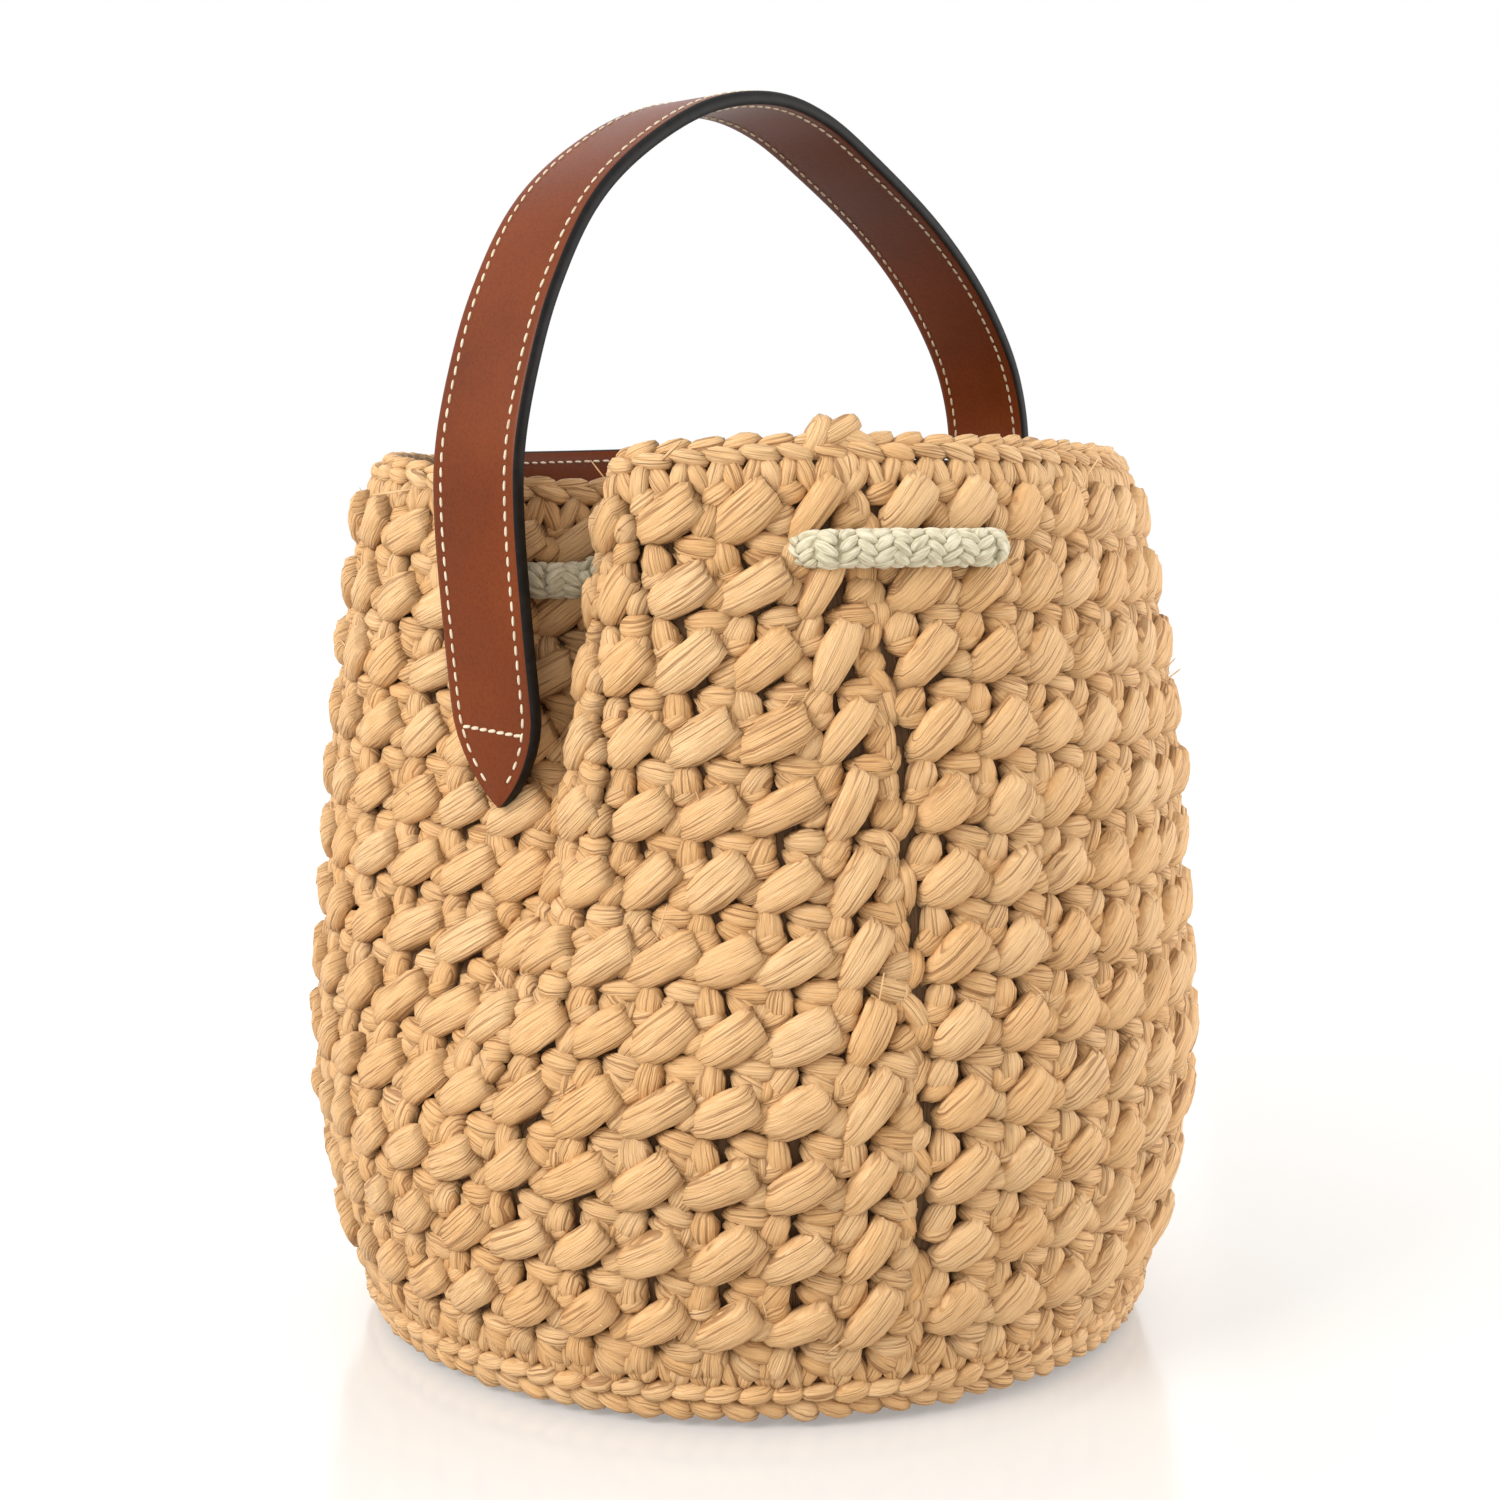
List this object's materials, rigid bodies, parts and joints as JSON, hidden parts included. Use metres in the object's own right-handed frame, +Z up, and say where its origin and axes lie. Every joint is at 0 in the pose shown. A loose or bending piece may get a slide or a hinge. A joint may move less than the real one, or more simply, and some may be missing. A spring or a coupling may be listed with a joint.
{
  "type": "bucket bag",
  "caption": "Round crocheted raffia bucket bag pinched in at the sides, with a braided drawstring below the rim and one stitched leather strap handle.",
  "frame": {"origin": "centre of the underside of the base, on the floor", "axes": "+Z up; X along the handle's arch, with its nearer end in the picture at -X; -Y is the front"},
  "size_m": [0.2575, 0.2564, 0.3547],
  "materials": {
    "raffia": "crocheted raffia, dry and slightly glossy",
    "leather": "smooth tan leather with painted black edges",
    "filler": "bonded leather board",
    "cotton": "braided cotton",
    "thread": "waxed thread"
  },
  "bodies": {
    "bag": {"base_panel": "raffia", "base_edge_ring": "raffia", "side_wall": "raffia", "rim_edging": "raffia", "drawstring": "cotton", "mouth_facing": "leather", "facing_thread_bottom": "thread", "facing_thread_top": "thread", "handle_end_left_lining": "leather", "handle_end_left_outer": "leather", "handle_end_right_lining": "leather", "handle_end_right_outer": "leather", "end_thread_left": "thread", "end_thread_right": "thread", "cross_thread_left": "thread", "cross_thread_right": "thread"},
    "handle": {"handle_arch_core": "filler", "handle_arch_lining": "leather", "handle_arch_outer": "leather", "arch_bobbin_thread_back": "thread", "arch_bobbin_thread_front": "thread", "arch_top_thread_back": "thread", "arch_top_thread_front": "thread"}
  },
  "joints": [
    {"name": "handle_swing", "type": "hinge", "parent": "bag", "child": "handle", "pos_m": [0, 0, 0.195], "axis": [1, 0, 0], "range_deg": [-90, 90]}
  ]
}
